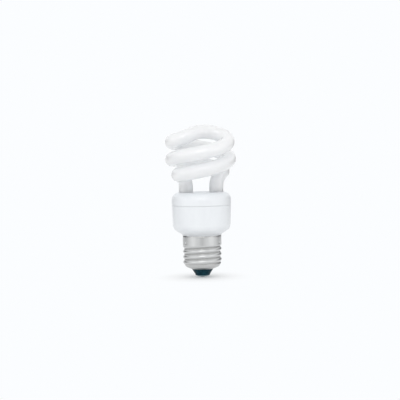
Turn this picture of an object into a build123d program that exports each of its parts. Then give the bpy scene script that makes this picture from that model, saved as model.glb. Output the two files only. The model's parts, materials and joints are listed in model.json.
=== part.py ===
"""Spiral compact fluorescent lamp with an E27 screw base.

Millimetres, +Z up. The origin is the lowest point of the lamp, on its axis, under the cap's contact.
The pieces follow from the cap upwards: cap, housing, glass tube, then the ballast inside the housing.
"""
import math
import os

from build123d import *

os.makedirs("parts", exist_ok=True)

# Contact and insulator of the cap
SOLDER_HEIGHT = 0.4
SOLDER_RADIUS = 1.7
CONTACT_RADIUS = 4.9
CONTACT_DOME = 1.0
CONTACT_THICK = 0.4
CONTACT_HOLE = 0.8
INSULATOR_RIM = 0.15
INSULATOR_FOOT = CONTACT_RADIUS + INSULATOR_RIM
INSULATOR_HEAD = 7.2
INSULATOR_CONE = 3.9
INSULATOR_PLUG = 2.5
INSULATOR_BORE = 1.2

# Screw shell, with the E27 thread
CAP_HEIGHT = 28.8
SHELL_WALL = 0.45
SHELL_FLOOR_ANGLE = 22.0
SHELL_CORNER = 2.5
THREAD_ROOT = 12.1
THREAD_DEPTH = 1.0
THREAD_CREST = THREAD_ROOT + THREAD_DEPTH
THREAD_PITCH = 3.629
THREAD_WIDTH = 2.7
THREAD_CREST_WIDTH = 0.9
THREAD_RISE = 1.0
THREAD_FADE = 0.9
THREAD_RUNOUT = 0.3
COLLAR_STEP = 0.05
COLLAR_RADIUS = THREAD_CREST + COLLAR_STEP
COLLAR_HEIGHT = 6.2
COLLAR_FLARE = 0.6

# Lower case, a bowl on a neck
CASE_HEIGHT = 20.45
CASE_RADIUS = 20.05
CASE_DRAFT = 0.55
CASE_FOOT = CASE_RADIUS - CASE_DRAFT
CASE_WALL = 1.3
NECK_STEP = 0.15
NECK_RADIUS = COLLAR_RADIUS + NECK_STEP
NECK_HEIGHT = 0.6
BOWL_ANGLE = 32.0
BOWL_FILLET = 5.0
SPIGOT_GAP = 0.35
SPIGOT_LENGTH = COLLAR_HEIGHT - SHELL_WALL - SPIGOT_GAP
SPIGOT_CLEARANCE = 0.1
SEAM_CHAMFER = 0.3
RIB_THICK = 1.2
RIB_DEPTH = 1.6
RIB_LENGTH = 7.0
RIB_COUNT = 4

# Upper cover, through which the legs pass
COVER_STEP = 0.15
COVER_RADIUS = CASE_RADIUS + COVER_STEP
COVER_HEIGHT = 8.65
COVER_WALL = 1.3
SHOULDER_RADIUS = 5.0
COVER_SPIGOT = 2.4
COVER_LEDGE = 1.0
COVER_CLEARANCE = 0.15
LEG_CLEARANCE = 0.35
SLEEVE_WALL = 0.9
SLEEVE_LENGTH = 4.0
CEMENT_THICK = 1.0
CEMENT_CLEARANCE = 0.05

# Glass tube: two legs, a right-hand double spiral that leans forwards, and the bridge on top
TUBE_RADIUS = 4.75
COIL_RADIUS = 19.35
COIL_GAP = 2.3
COIL_RISE = 10.9
COIL_START = 233.0
COIL_LEAN = 5.4
LEG_OFFSET = 10.3
LEG_HEIGHT = 3.3
ELBOW_LIFT = 11.5
ELBOW_SWEEP = 11.0
BRIDGE_RISE = 7.3
BRIDGE_ANGLE = 30.0
LEFT_COIL_END = 528.4
LEFT_BRIDGE_LEAD = 14.8
LEFT_CORNER_RADIUS = 11.3
LEFT_CORNER_ANGLE = 230.0
LEFT_CORNER_DROP = 4.45
LEFT_CREST_LEAD = 8.7
RIGHT_COIL_END = 499.4
RIGHT_BRIDGE_LEAD = 10.8
RIGHT_CORNER_RADIUS = 20.3
RIGHT_CORNER_ANGLE = 191.5
RIGHT_CORNER_DROP = 3.05
RIGHT_CREST_LEAD = 10.2
PINCH_LENGTH = 4.2
PINCH_TAPER = 2.0
PINCH_THICK = 2.6
PINCH_STAND = 2.6

# Circuit board, component leads and wires
BOARD_THICK = 1.2
BOARD_CLEARANCE = 0.4
LEAD = 0.5
PART_GAP = 1.2
PART_STAND = 0.8
WIRE_RADIUS = 0.4
WIRE_CLEARANCE = 0.15
WIRE_TAIL = 0.8
WIRE_RISE = 0.8
WIRE_SIDES = 8
NEUTRAL_ANGLE = 205.0
NEUTRAL_DROP = 1.6
ELECTRODE_WIRE = 0.5
ELECTRODE_SPACING = 5.0
POST = 0.8
POST_HEIGHT = 4.0
POST_REACH = 3.2
POST_SPACING = 10.6
POST_CLEARANCE = 0.05
WRAP_RISE = 1.4
WRAP_HEIGHT = 1.5

# Ballast components
CAN_RADIUS = 4.0
CAN_LENGTH = 15.0
CAN_GROOVE = 0.35
CAN_LEADS = 3.5
CORE_WIDTH = 12.0
CORE_HEIGHT = 11.0
CORE_DEPTH = 5.0
CORE_CENTRE_LEG = CORE_WIDTH / 3
CORE_SIDE_LEG = CORE_CENTRE_LEG / 2
CORE_BACK = 2.2
BOBBIN_WALL = 0.5
BOBBIN_CLEARANCE = 0.1
RING_OUTER = 3.6
RING_INNER = 1.9
RING_HEIGHT = 3.0
RING_WINDING = 0.5
RING_SECTOR = 50.0
RING_WINDINGS = 3
FILTER_RADIUS = 2.8
FILTER_LENGTH = 7.0
FILTER_LEADS = 2.6
TRANSISTOR_RADIUS = 2.3
TRANSISTOR_FLAT = 1.3
TRANSISTOR_HEIGHT = 4.6
TRANSISTOR_LEADS = 1.27
RESONANCE_SIZE = (7.5, 3.5, 7.0)
BLOCKING_SIZE = (6.0, 3.0, 6.0)
START_SIZE = (4.4, 2.4, 4.6)
FILM_BEVEL = 0.8
FILM_EDGE = 1.2
BRIDGE_SIZE = (6.4, 5.0, 2.4)
BRIDGE_BEVEL = 0.6
BRIDGE_LEG = 1.2
BRIDGE_LEG_THICK = 0.4
BRIDGE_LEG_SPACING = 2.5
RESISTOR_RADIUS = 0.95
RESISTOR_LENGTH = 3.6
DIAC_RADIUS = 0.9
DIAC_LENGTH = 3.8
AXIAL_TAIL = 1.5
FUSE_RADIUS = 1.6
FUSE_LENGTH = 8.0
FUSE_DROP = 1.8

# Levels and radii of the cap
contact_z = SOLDER_HEIGHT
solder_z = contact_z + CONTACT_THICK
rim_z = contact_z + CONTACT_DOME + CONTACT_THICK
head_z = rim_z + INSULATOR_CONE
floor_angle = math.radians(SHELL_FLOOR_ANGLE)
floor_slope = math.tan(floor_angle)
floor_thick = SHELL_WALL / math.cos(floor_angle)
root_z = head_z + (THREAD_ROOT - INSULATOR_HEAD) * floor_slope
bore_radius = THREAD_ROOT - SHELL_WALL
bore_z = head_z + floor_thick + (bore_radius - INSULATOR_HEAD) * floor_slope
bore_bevel = (SHELL_CORNER - SHELL_WALL) * math.tan((math.pi / 2 - floor_angle) / 2)
bevel_radius = bore_radius - bore_bevel * math.cos(floor_angle)
bevel_z = bore_z - bore_bevel * math.sin(floor_angle)
plug_z = bore_z + INSULATOR_PLUG
thread_z = root_z + THREAD_RISE
collar_z = CAP_HEIGHT - COLLAR_HEIGHT
collar_bore = COLLAR_RADIUS - SHELL_WALL
thread_height = collar_z - THREAD_RUNOUT - thread_z

# Levels and radii of the housing
neck_z = CAP_HEIGHT + NECK_HEIGHT
bowl_slope = math.tan(math.radians(BOWL_ANGLE))
bowl_thick = CASE_WALL / math.cos(math.radians(BOWL_ANGLE))
foot_z = neck_z + (CASE_FOOT - NECK_RADIUS) * bowl_slope
case_z = CAP_HEIGHT + CASE_HEIGHT
spigot_radius = collar_bore - SPIGOT_CLEARANCE
spigot_z = CAP_HEIGHT - SPIGOT_LENGTH
neck_bore = spigot_radius - CASE_WALL
foot_bore = CASE_FOOT - CASE_WALL
case_bore = CASE_RADIUS - CASE_WALL
cover_z = case_z + COVER_HEIGHT
cover_bore = COVER_RADIUS - COVER_WALL
ceiling_z = cover_z - COVER_WALL
ceiling_bevel = SHOULDER_RADIUS - COVER_WALL
cover_spigot_z = case_z - COVER_SPIGOT
leg_hole = TUBE_RADIUS + LEG_CLEARANCE
sleeve_bore = TUBE_RADIUS + CEMENT_THICK
sleeve_z = ceiling_z - SLEEVE_LENGTH
board_top = cover_spigot_z
board_z = board_top - BOARD_THICK
part_z = board_z - PART_STAND

# Levels of the glass tube
coil_pitch = 2 * (2 * TUBE_RADIUS + COIL_GAP)
coil_z = cover_z + COIL_RISE
coil_middle = Vector(0, 0, coil_z + coil_pitch / 2)
leg_z = cover_z + LEG_HEIGHT
pinch_z = board_top + PINCH_STAND
seal_z = pinch_z + PINCH_LENGTH

# Places of the ballast's components on the board
window = (CORE_WIDTH - CORE_CENTRE_LEG) / 2 - CORE_SIDE_LEG
winding_build = window - 2 * BOBBIN_CLEARANCE - BOBBIN_WALL
choke_reach = CORE_DEPTH / 2 + BOBBIN_CLEARANCE + BOBBIN_WALL + winding_build
can_x = -CAN_RADIUS
choke_x = PART_GAP + choke_reach
ring_y = CAN_RADIUS + PART_GAP + RING_OUTER + RING_WINDING
filter_x = can_x - CAN_RADIUS - PART_GAP - FILTER_RADIUS
transistor_y = CORE_WIDTH / 2 + PART_GAP + TRANSISTOR_RADIUS
transistor_pitch = 2 * TRANSISTOR_RADIUS + PART_GAP / 2
resonance_y = -CAN_RADIUS - PART_GAP - RESONANCE_SIZE[1] / 2
blocking_x = choke_x + PART_GAP
blocking_y = -CORE_WIDTH / 2 - PART_GAP - BLOCKING_SIZE[1] / 2
start_x = can_x - RING_OUTER - RING_WINDING - PART_GAP - START_SIZE[0] / 2
start_y = FILTER_RADIUS + PART_GAP + START_SIZE[1] / 2
fuse_x = PART_GAP + WIRE_RADIUS
fuse_y = -CORE_WIDTH / 2 - PART_GAP
fuse_foot = plug_z + FUSE_DROP
neutral_radius = neck_bore - WIRE_RADIUS - PART_GAP / 2
neutral_reach = math.sqrt(bore_radius**2 - WIRE_RADIUS**2)
neutral_z = collar_z - NEUTRAL_DROP
resistor_y = BRIDGE_SIZE[1] / 2 + BRIDGE_LEG + PART_GAP + RESISTOR_RADIUS
resistor_pitch = 2 * RESISTOR_RADIUS + PART_GAP
diac_y = resistor_y + resistor_pitch + RESISTOR_RADIUS + PART_GAP + DIAC_RADIUS


def case_bore_at(height):
    """Gives the case's inner radius on its drafted wall at a height."""
    share = (height - foot_z) / (case_z - foot_z)
    return foot_bore + share * (case_bore - foot_bore)


cover_spigot = case_bore_at(cover_spigot_z) - COVER_CLEARANCE
spigot_bore = cover_spigot - COVER_WALL
post_x = spigot_bore - POST_REACH


def revolved_outline(*corners):
    """Draws the closed outline of a revolved piece through corners of radius, height and fillet."""
    points = [(radius, height) for radius, height, _ in corners]
    FilletPolyline(*points, radius=[rounding for _, _, rounding in corners], close=True)


def upright(x, y):
    """Gives the vertical plane through a point, facing the front, on which profiles are drawn."""
    return Plane(origin=(x, y, 0), x_dir=(1, 0, 0), z_dir=(0, -1, 0))


# Centre contact: a domed plate whose hole is closed by the bead of solder under it
with BuildPart() as centre_contact:
    with BuildSketch(Plane.XZ):
        with BuildLine():
            TangentArc((0, contact_z), (CONTACT_RADIUS, contact_z + CONTACT_DOME), tangent=(1, 0))
            Polyline(
                (CONTACT_RADIUS, contact_z + CONTACT_DOME),
                (CONTACT_RADIUS, rim_z),
                (0, solder_z),
                (0, contact_z),
            )
        make_face()
        with BuildLine():
            TangentArc((0, 0), (SOLDER_RADIUS, solder_z), tangent=(1, 0))
            Polyline((SOLDER_RADIUS, solder_z), (0, solder_z), (0, 0))
        make_face()
        with Locations((0, contact_z)):
            Rectangle(2 * CONTACT_HOLE, CONTACT_DOME, align=(Align.CENTER, Align.MIN), mode=Mode.SUBTRACT)
    revolve(axis=Axis.Z)
centre_contact.part.label = "centre_contact"
export_step(centre_contact.part, "parts/centre_contact.step")

# Glass insulator: the cone in view and the plug that fills the shell's floor
with BuildPart() as base_insulator:
    with BuildSketch(Plane.XZ):
        with BuildLine():
            Polyline(
                (0, solder_z),
                (CONTACT_RADIUS, rim_z),
                (INSULATOR_FOOT, rim_z),
                (INSULATOR_HEAD, head_z),
                (INSULATOR_HEAD, head_z + floor_thick),
                (bevel_radius, bevel_z),
                (bore_radius, bore_z + bore_bevel),
                (bore_radius, plug_z),
                (0, plug_z),
                close=True,
            )
        make_face()
    revolve(axis=Axis.Z)
    Cylinder(INSULATOR_BORE, 4 * plug_z, mode=Mode.SUBTRACT)
base_insulator.part.label = "base_insulator"
export_step(base_insulator.part, "parts/base_insulator.step")

# Envelope that fades the thread in above the shell's corner and out against the collar
with BuildPart() as thread_envelope:
    with BuildSketch(Plane.XZ):
        with BuildLine():
            Polyline(
                (0, thread_z),
                (THREAD_ROOT - SHELL_WALL / 4, thread_z),
                (THREAD_CREST + SHELL_WALL, thread_z + THREAD_FADE),
                (THREAD_CREST + SHELL_WALL, collar_z - COLLAR_FLARE),
                (COLLAR_RADIUS - SHELL_WALL / 4, collar_z),
                (0, collar_z),
                close=True,
            )
        make_face()
    revolve(axis=Axis.Z)


def thread_ridge(start, turns):
    """Builds up to one turn of the thread's ridge, a whole number of turns above the thread's start."""
    with BuildPart() as ridge:
        with BuildLine() as path:
            foot = (0, 0, thread_z + start * THREAD_PITCH)
            Helix(THREAD_PITCH, turns * THREAD_PITCH, THREAD_ROOT, center=foot)
        with BuildSketch(Plane(path.line @ 0, x_dir=(1, 0, 0), z_dir=path.line % 0)):
            with BuildLine():
                Polyline(
                    (-SHELL_WALL / 3, -THREAD_WIDTH / 2),
                    (THREAD_DEPTH, -THREAD_CREST_WIDTH / 2),
                    (THREAD_DEPTH, THREAD_CREST_WIDTH / 2),
                    (-SHELL_WALL / 3, THREAD_WIDTH / 2),
                    close=True,
                )
            make_face()
        sweep(is_frenet=True)
        add(thread_envelope.part, mode=Mode.INTERSECT)
    return ridge.part


# Screw shell: drawn cup with the rolled thread and a smooth collar
thread_turns = thread_height / THREAD_PITCH
ridges = [thread_ridge(start, min(1, thread_turns - start)) for start in range(math.ceil(thread_turns))]
with BuildPart() as screw_shell:
    with BuildSketch(Plane.XZ):
        with BuildLine():
            revolved_outline(
                (INSULATOR_HEAD, head_z, 0),
                (THREAD_ROOT, root_z, SHELL_CORNER),
                (THREAD_ROOT, collar_z - COLLAR_FLARE, 0),
                (COLLAR_RADIUS, collar_z, 0),
                (COLLAR_RADIUS, CAP_HEIGHT, 0),
                (collar_bore, CAP_HEIGHT, 0),
                (collar_bore, collar_z + SHELL_WALL, 0),
                (bore_radius, collar_z - COLLAR_FLARE + SHELL_WALL, 0),
                (bore_radius, bore_z + bore_bevel, 0),
                (bevel_radius, bevel_z, 0),
                (INSULATOR_HEAD, head_z + floor_thick, 0),
            )
        make_face()
    revolve(axis=Axis.Z)
    for ridge in ridges:
        add(ridge)
screw_shell.part.label = "screw_shell"
export_step(screw_shell.part, "parts/screw_shell.step")


# Lower case: bowl and neck, with the spigot inside the shell and ribs under the board
with BuildPart() as ballast_case:
    with BuildSketch(Plane.XZ):
        with BuildLine():
            revolved_outline(
                (0, spigot_z, 0),
                (spigot_radius, spigot_z, 0),
                (spigot_radius, CAP_HEIGHT, 0),
                (NECK_RADIUS, CAP_HEIGHT, 0),
                (NECK_RADIUS, neck_z, 0),
                (CASE_FOOT, foot_z, BOWL_FILLET),
                (CASE_RADIUS, case_z - SEAM_CHAMFER, 0),
                (CASE_RADIUS - SEAM_CHAMFER, case_z, 0),
                (0, case_z, 0),
            )
        make_face()
    revolve(axis=Axis.Z)
    with BuildSketch(Plane.XZ):
        with BuildLine():
            revolved_outline(
                (0, spigot_z - CASE_WALL, 0),
                (neck_bore, spigot_z - CASE_WALL, 0),
                (neck_bore, neck_z + bowl_thick + (neck_bore - NECK_RADIUS) * bowl_slope, 0),
                (foot_bore, foot_z + bowl_thick - CASE_WALL * bowl_slope, 0),
                (case_bore, case_z, 0),
                (case_bore, case_z + CASE_WALL, 0),
                (0, case_z + CASE_WALL, 0),
            )
        make_face()
    revolve(axis=Axis.Z, mode=Mode.SUBTRACT)
    rib_outer = case_bore_at(board_z - RIB_LENGTH) + CASE_WALL / 2
    rib_span = RIB_DEPTH + CASE_WALL / 2
    with BuildSketch(Plane.XY.offset(board_z - RIB_LENGTH)):
        with PolarLocations(rib_outer - rib_span / 2, RIB_COUNT, start_angle=180 / RIB_COUNT):
            Rectangle(rib_span, RIB_THICK)
    extrude(amount=RIB_LENGTH)
ballast_case.part.label = "ballast_case"
export_step(ballast_case.part, "parts/ballast_case.step")

# Upper cover: rounded cap with a spigot in the case's mouth and two sleeves for the legs
with BuildPart() as tube_cover:
    with BuildSketch(Plane.XZ):
        with BuildLine():
            revolved_outline(
                (cover_spigot, cover_spigot_z, 0),
                (cover_spigot, case_z, 0),
                (COVER_RADIUS - SEAM_CHAMFER, case_z, 0),
                (COVER_RADIUS, case_z + SEAM_CHAMFER, 0),
                (COVER_RADIUS, cover_z, SHOULDER_RADIUS),
                (0, cover_z, 0),
                (0, ceiling_z, 0),
                (cover_bore - ceiling_bevel, ceiling_z, 0),
                (cover_bore, ceiling_z - ceiling_bevel, 0),
                (cover_bore, case_z + COVER_LEDGE, 0),
                (spigot_bore, case_z + COVER_LEDGE, 0),
                (spigot_bore, cover_spigot_z, 0),
            )
        make_face()
    revolve(axis=Axis.Z)
    with BuildSketch(Plane.XY.offset(sleeve_z)):
        with Locations((-LEG_OFFSET, 0), (LEG_OFFSET, 0)):
            Circle(sleeve_bore + SLEEVE_WALL)
    extrude(amount=SLEEVE_LENGTH + COVER_WALL / 2)
    with BuildSketch(Plane.XY.offset(sleeve_z)):
        with Locations((-LEG_OFFSET, 0), (LEG_OFFSET, 0)):
            Circle(sleeve_bore)
    extrude(amount=SLEEVE_LENGTH, mode=Mode.SUBTRACT)
    with BuildSketch(Plane.XY.offset(sleeve_z)):
        with Locations((-LEG_OFFSET, 0), (LEG_OFFSET, 0)):
            Circle(leg_hole)
    extrude(amount=SLEEVE_LENGTH + 2 * COVER_WALL, mode=Mode.SUBTRACT)
tube_cover.part.label = "tube_cover"
export_step(tube_cover.part, "parts/tube_cover.step")

# Cement rings that hold the legs in the sleeves
for side, name in ((-1, "left_leg_cement"), (1, "right_leg_cement")):
    with BuildPart() as leg_cement:
        with BuildSketch(Plane((side * LEG_OFFSET, 0, sleeve_z))):
            Circle(sleeve_bore - CEMENT_CLEARANCE)
            Circle(TUBE_RADIUS + CEMENT_CLEARANCE, mode=Mode.SUBTRACT)
        extrude(amount=SLEEVE_LENGTH)
    leg_cement.part.label = name
    export_step(leg_cement.part, f"parts/{name}.step")


def leant(point, lean):
    """Turns a point of the upright spiral about its middle, forwards by an angle in degrees."""
    return coil_middle + (point - coil_middle).rotate(Axis.X, lean)


def coil_point(angle):
    """Gives the upright spiral's centre line at an angle in degrees, counted from the lamp's right."""
    return Vector(COIL_RADIUS, 0, coil_z + (angle - 180) / 360 * coil_pitch).rotate(Axis.Z, angle)


def coil_heading(angle):
    """Gives the unit direction in which the upright spiral climbs at an angle in degrees."""
    climb = coil_pitch / (2 * math.pi * COIL_RADIUS)
    return Vector(0, 1, climb).rotate(Axis.Z, angle).normalized()


upright_crest = Vector(0, 0, coil_point(LEFT_COIL_END).Z + BRIDGE_RISE)


def bridge_corner(radius, angle, drop):
    """Gives the upright bridge's corner, by its radius, its angle and its drop below the crest."""
    return Vector(radius, 0, upright_crest.Z - drop).rotate(Axis.Z, angle)


def tube_half(lean, coil_end, bridge_lead, corner, crest_lead):
    """Builds the left half of the tube: pinched leg, elbow, spiral and its half of the bridge.

    lean is the angle by which the spiral leans forwards, coil_end the angle where it ends, corner the
    point that the bridge turns about, and the two leads say how far the bridge keeps the direction of
    the spiral and of the crest.
    """
    leg_top = Vector(-LEG_OFFSET, 0, leg_z)
    coil_foot = coil_point(COIL_START)
    coil_head = coil_point(coil_end)
    crest_heading = Vector(1, 0, 0).rotate(Axis.Z, BRIDGE_ANGLE)
    with BuildPart() as half:
        with BuildLine() as path:
            Line((-LEG_OFFSET, 0, seal_z), leg_top)
            Bezier(
                leg_top,
                leg_top + Vector(0, 0, ELBOW_LIFT),
                leant(coil_foot - coil_heading(COIL_START) * ELBOW_SWEEP, lean),
                leant(coil_foot, lean),
            )
            coil = Helix(coil_pitch, coil_head.Z - coil_foot.Z, COIL_RADIUS, mode=Mode.PRIVATE)
            coil = coil.rotate(Axis.Z, COIL_START).translate((0, 0, coil_foot.Z))
            add(coil.rotate(Axis(coil_middle, (1, 0, 0)), lean))
            Bezier(
                leant(coil_head, lean),
                leant(coil_head + coil_heading(coil_end) * bridge_lead, lean),
                leant(corner, lean),
                leant(upright_crest - crest_heading * crest_lead, lean),
                leant(upright_crest, lean),
            )
        with BuildSketch(Plane((-LEG_OFFSET, 0, seal_z))):
            Circle(TUBE_RADIUS)
        sweep(path=path.line)
        with BuildSketch(Plane((-LEG_OFFSET, 0, pinch_z))):
            Circle(TUBE_RADIUS)
        extrude(amount=PINCH_LENGTH)
        with BuildSketch(upright(-LEG_OFFSET, 0)) as pinch_cuts:
            with BuildLine():
                Polyline(
                    (TUBE_RADIUS, seal_z),
                    (PINCH_THICK / 2, seal_z - PINCH_TAPER),
                    (PINCH_THICK / 2, pinch_z - PINCH_THICK),
                    (2 * TUBE_RADIUS, pinch_z - PINCH_THICK),
                    (2 * TUBE_RADIUS, seal_z),
                    close=True,
                )
            make_face()
            mirror(about=Plane.YZ)
        extrude(amount=2 * TUBE_RADIUS, both=True, mode=Mode.SUBTRACT)
    return half.part


# Glass tube: one sealed piece, whose right half is its own bend turned half a turn about the axis
left_corner = bridge_corner(LEFT_CORNER_RADIUS, LEFT_CORNER_ANGLE, LEFT_CORNER_DROP)
right_corner = bridge_corner(RIGHT_CORNER_RADIUS, RIGHT_CORNER_ANGLE, RIGHT_CORNER_DROP)
left_half = tube_half(COIL_LEAN, LEFT_COIL_END, LEFT_BRIDGE_LEAD, left_corner, LEFT_CREST_LEAD)
right_half = tube_half(-COIL_LEAN, RIGHT_COIL_END, RIGHT_BRIDGE_LEAD, right_corner, RIGHT_CREST_LEAD)
with BuildPart() as discharge_tube:
    add(left_half)
    add(right_half.rotate(Axis.Z, 180))
discharge_tube.part.label = "discharge_tube"
export_step(discharge_tube.part, "parts/discharge_tube.step")

# Circuit board: a disc held between the case's ribs and the cover's spigot
posts = [(side * post_x, end * POST_SPACING / 2) for side in (-1, 1) for end in (-1, 1)]
neutral_spot = Vector(neutral_radius, 0).rotate(Axis.Z, NEUTRAL_ANGLE)
with BuildPart() as circuit_board:
    with BuildSketch(Plane.XY.offset(board_z)):
        Circle(case_bore_at(board_z) - BOARD_CLEARANCE)
        with Locations(*posts):
            Rectangle(POST + 2 * POST_CLEARANCE, POST + 2 * POST_CLEARANCE, mode=Mode.SUBTRACT)
        with Locations((fuse_x, fuse_y), neutral_spot):
            Circle(WIRE_RADIUS + WIRE_CLEARANCE, mode=Mode.SUBTRACT)
    extrude(amount=BOARD_THICK)
circuit_board.part.label = "circuit_board"
export_step(circuit_board.part, "parts/circuit_board.step")

# Wire posts: square pins on which the electrode leads are wrapped
with BuildPart() as wire_posts:
    with BuildSketch(Plane.XY.offset(board_z)):
        with Locations(*posts):
            Rectangle(POST, POST)
    extrude(amount=BOARD_THICK + POST_HEIGHT)
wire_posts.part.label = "wire_posts"
export_step(wire_posts.part, "parts/wire_posts.step")


def electrode_leads(side):
    """Builds the two wires from one pinched leg to its posts, with the turns wrapped on each post."""
    wrap_z = board_top + WRAP_RISE
    wrap_bore = POST + 2 * POST_CLEARANCE
    wrap_side = wrap_bore + 2 * ELECTRODE_WIRE
    with BuildPart() as leads:
        for end in (-1, 1):
            exit_point = Vector(side * LEG_OFFSET, end * ELECTRODE_SPACING / 2, pinch_z)
            bend = Vector(exit_point.X, exit_point.Y, wrap_z)
            post = Vector(side * post_x, end * POST_SPACING / 2, wrap_z)
            with BuildLine() as route:
                Polyline(exit_point, bend, post + (bend - post).normalized() * wrap_side / 2)
            with BuildSketch(Plane(exit_point)):
                Rectangle(ELECTRODE_WIRE, ELECTRODE_WIRE)
            sweep(path=route.line, transition=Transition.RIGHT)
            with BuildSketch(Plane(post - Vector(0, 0, WRAP_HEIGHT / 2))):
                Rectangle(wrap_side, wrap_side)
                Rectangle(wrap_bore, wrap_bore, mode=Mode.SUBTRACT)
            extrude(amount=WRAP_HEIGHT)
    return leads


for side, name in ((-1, "left_electrode_leads"), (1, "right_electrode_leads")):
    leads = electrode_leads(side)
    leads.part.label = name
    export_step(leads.part, f"parts/{name}.step")


def hanging_leads(*spots):
    """Adds the leads that join a component under the board to the board's lower face."""
    with Locations(*[(x, y, part_z + PART_STAND / 2) for x, y in spots]):
        Box(LEAD, LEAD, PART_STAND)


# Bulk capacitor: a can with a rolled groove, hanging into the neck
with BuildPart() as bulk_capacitor:
    with BuildSketch(upright(can_x, 0)):
        with BuildLine():
            Polyline(
                (0, part_z),
                (CAN_RADIUS, part_z),
                (CAN_RADIUS, part_z - 3 * CAN_GROOVE),
                (CAN_RADIUS - CAN_GROOVE, part_z - 4 * CAN_GROOVE),
                (CAN_RADIUS, part_z - 5 * CAN_GROOVE),
                (CAN_RADIUS, part_z - CAN_LENGTH),
                (0, part_z - CAN_LENGTH),
                close=True,
            )
        make_face()
    revolve(axis=Axis((can_x, 0, 0), (0, 0, 1)))
    hanging_leads(*[(can_x + side * CAN_LEADS / 2, 0) for side in (-1, 1)])
bulk_capacitor.part.label = "bulk_capacitor"
export_step(bulk_capacitor.part, "parts/bulk_capacitor.step")

# Ballast choke: ferrite core, bobbin with its pins, and the winding
choke_middle = part_z - CORE_HEIGHT / 2
window_height = CORE_HEIGHT - 2 * CORE_BACK
bobbin_height = window_height - 2 * BOBBIN_CLEARANCE
flange_z = (bobbin_height - BOBBIN_WALL) / 2
sleeve_x = CORE_DEPTH + 2 * BOBBIN_CLEARANCE
sleeve_y = CORE_CENTRE_LEG + 2 * BOBBIN_CLEARANCE
winding_x = 2 * choke_reach
winding_y = sleeve_y + 2 * (BOBBIN_WALL + winding_build - BOBBIN_CLEARANCE)
with BuildPart() as choke_core:
    with BuildSketch(Plane.YZ.offset(choke_x)):
        with Locations((0, choke_middle)):
            Rectangle(CORE_WIDTH, CORE_HEIGHT)
        with Locations(*[(side * (CORE_CENTRE_LEG + window) / 2, choke_middle) for side in (-1, 1)]):
            Rectangle(window, window_height, mode=Mode.SUBTRACT)
    extrude(amount=CORE_DEPTH / 2, both=True)
choke_core.part.label = "choke_core"
export_step(choke_core.part, "parts/choke_core.step")

with BuildPart() as choke_bobbin:
    with BuildSketch(Plane((choke_x, 0, choke_middle))):
        Rectangle(sleeve_x + 2 * BOBBIN_WALL, sleeve_y + 2 * BOBBIN_WALL)
    extrude(amount=bobbin_height / 2, both=True)
    with Locations((choke_x, 0, choke_middle)):
        with Locations((0, 0, flange_z), (0, 0, -flange_z)):
            Box(winding_x, winding_y, BOBBIN_WALL)
    with Locations((choke_x, 0, choke_middle)):
        Box(sleeve_x, sleeve_y, CORE_HEIGHT, mode=Mode.SUBTRACT)
    with BuildSketch(Plane.XY.offset(choke_middle + bobbin_height / 2)):
        with Locations((choke_x, 0)):
            with GridLocations(winding_x - 2 * LEAD, CORE_CENTRE_LEG, 2, 2):
                Rectangle(LEAD, LEAD)
    extrude(amount=board_z - choke_middle - bobbin_height / 2)
choke_bobbin.part.label = "choke_bobbin"
export_step(choke_bobbin.part, "parts/choke_bobbin.step")

with BuildPart() as choke_winding:
    with BuildSketch(Plane((choke_x, 0, choke_middle))):
        Rectangle(winding_x - BOBBIN_CLEARANCE, winding_y - BOBBIN_CLEARANCE)
        Rectangle(sleeve_x + 2 * BOBBIN_WALL, sleeve_y + 2 * BOBBIN_WALL, mode=Mode.SUBTRACT)
    extrude(amount=bobbin_height / 2 - BOBBIN_WALL, both=True)
choke_winding.part.label = "choke_winding"
export_step(choke_winding.part, "parts/choke_winding.step")

# Drive transformer: a ferrite ring and its three windings
ring_z = part_z - RING_WINDING - RING_HEIGHT
ring_middle = (RING_OUTER + RING_INNER) / 2
ring_width = RING_OUTER - RING_INNER
with BuildPart() as drive_core:
    with BuildSketch(Plane((can_x, ring_y, ring_z))):
        Circle(RING_OUTER)
        Circle(RING_INNER, mode=Mode.SUBTRACT)
    extrude(amount=RING_HEIGHT)
drive_core.part.label = "drive_core"
export_step(drive_core.part, "parts/drive_core.step")

with BuildPart() as drive_windings:
    for turn in range(RING_WINDINGS):
        middle = 360 * turn / RING_WINDINGS
        outward = Vector(1, 0, 0).rotate(Axis.Z, middle)
        start = middle - RING_SECTOR / 2
        section = Plane(
            origin=(can_x, ring_y, 0),
            x_dir=Vector(1, 0, 0).rotate(Axis.Z, start),
            z_dir=Vector(0, -1, 0).rotate(Axis.Z, start),
        )
        with BuildSketch(section):
            with Locations((ring_middle, ring_z + RING_HEIGHT / 2)):
                Rectangle(ring_width + 2 * RING_WINDING, RING_HEIGHT + 2 * RING_WINDING)
                Rectangle(ring_width, RING_HEIGHT, mode=Mode.SUBTRACT)
        revolve(axis=Axis((can_x, ring_y, 0), (0, 0, 1)), revolution_arc=RING_SECTOR)
        lead = Vector(can_x, ring_y) + outward * ring_middle
        hanging_leads((lead.X, lead.Y))
drive_windings.part.label = "drive_windings"
export_step(drive_windings.part, "parts/drive_windings.step")

# Supply filter choke: a drum in a shrunk sleeve
with BuildPart() as filter_choke:
    with BuildSketch(Plane((filter_x, 0, part_z))):
        Circle(FILTER_RADIUS)
    extrude(amount=-FILTER_LENGTH)
    hanging_leads(*[(filter_x, side * FILTER_LEADS / 2) for side in (-1, 1)])
filter_choke.part.label = "filter_choke"
export_step(filter_choke.part, "parts/filter_choke.step")

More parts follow.
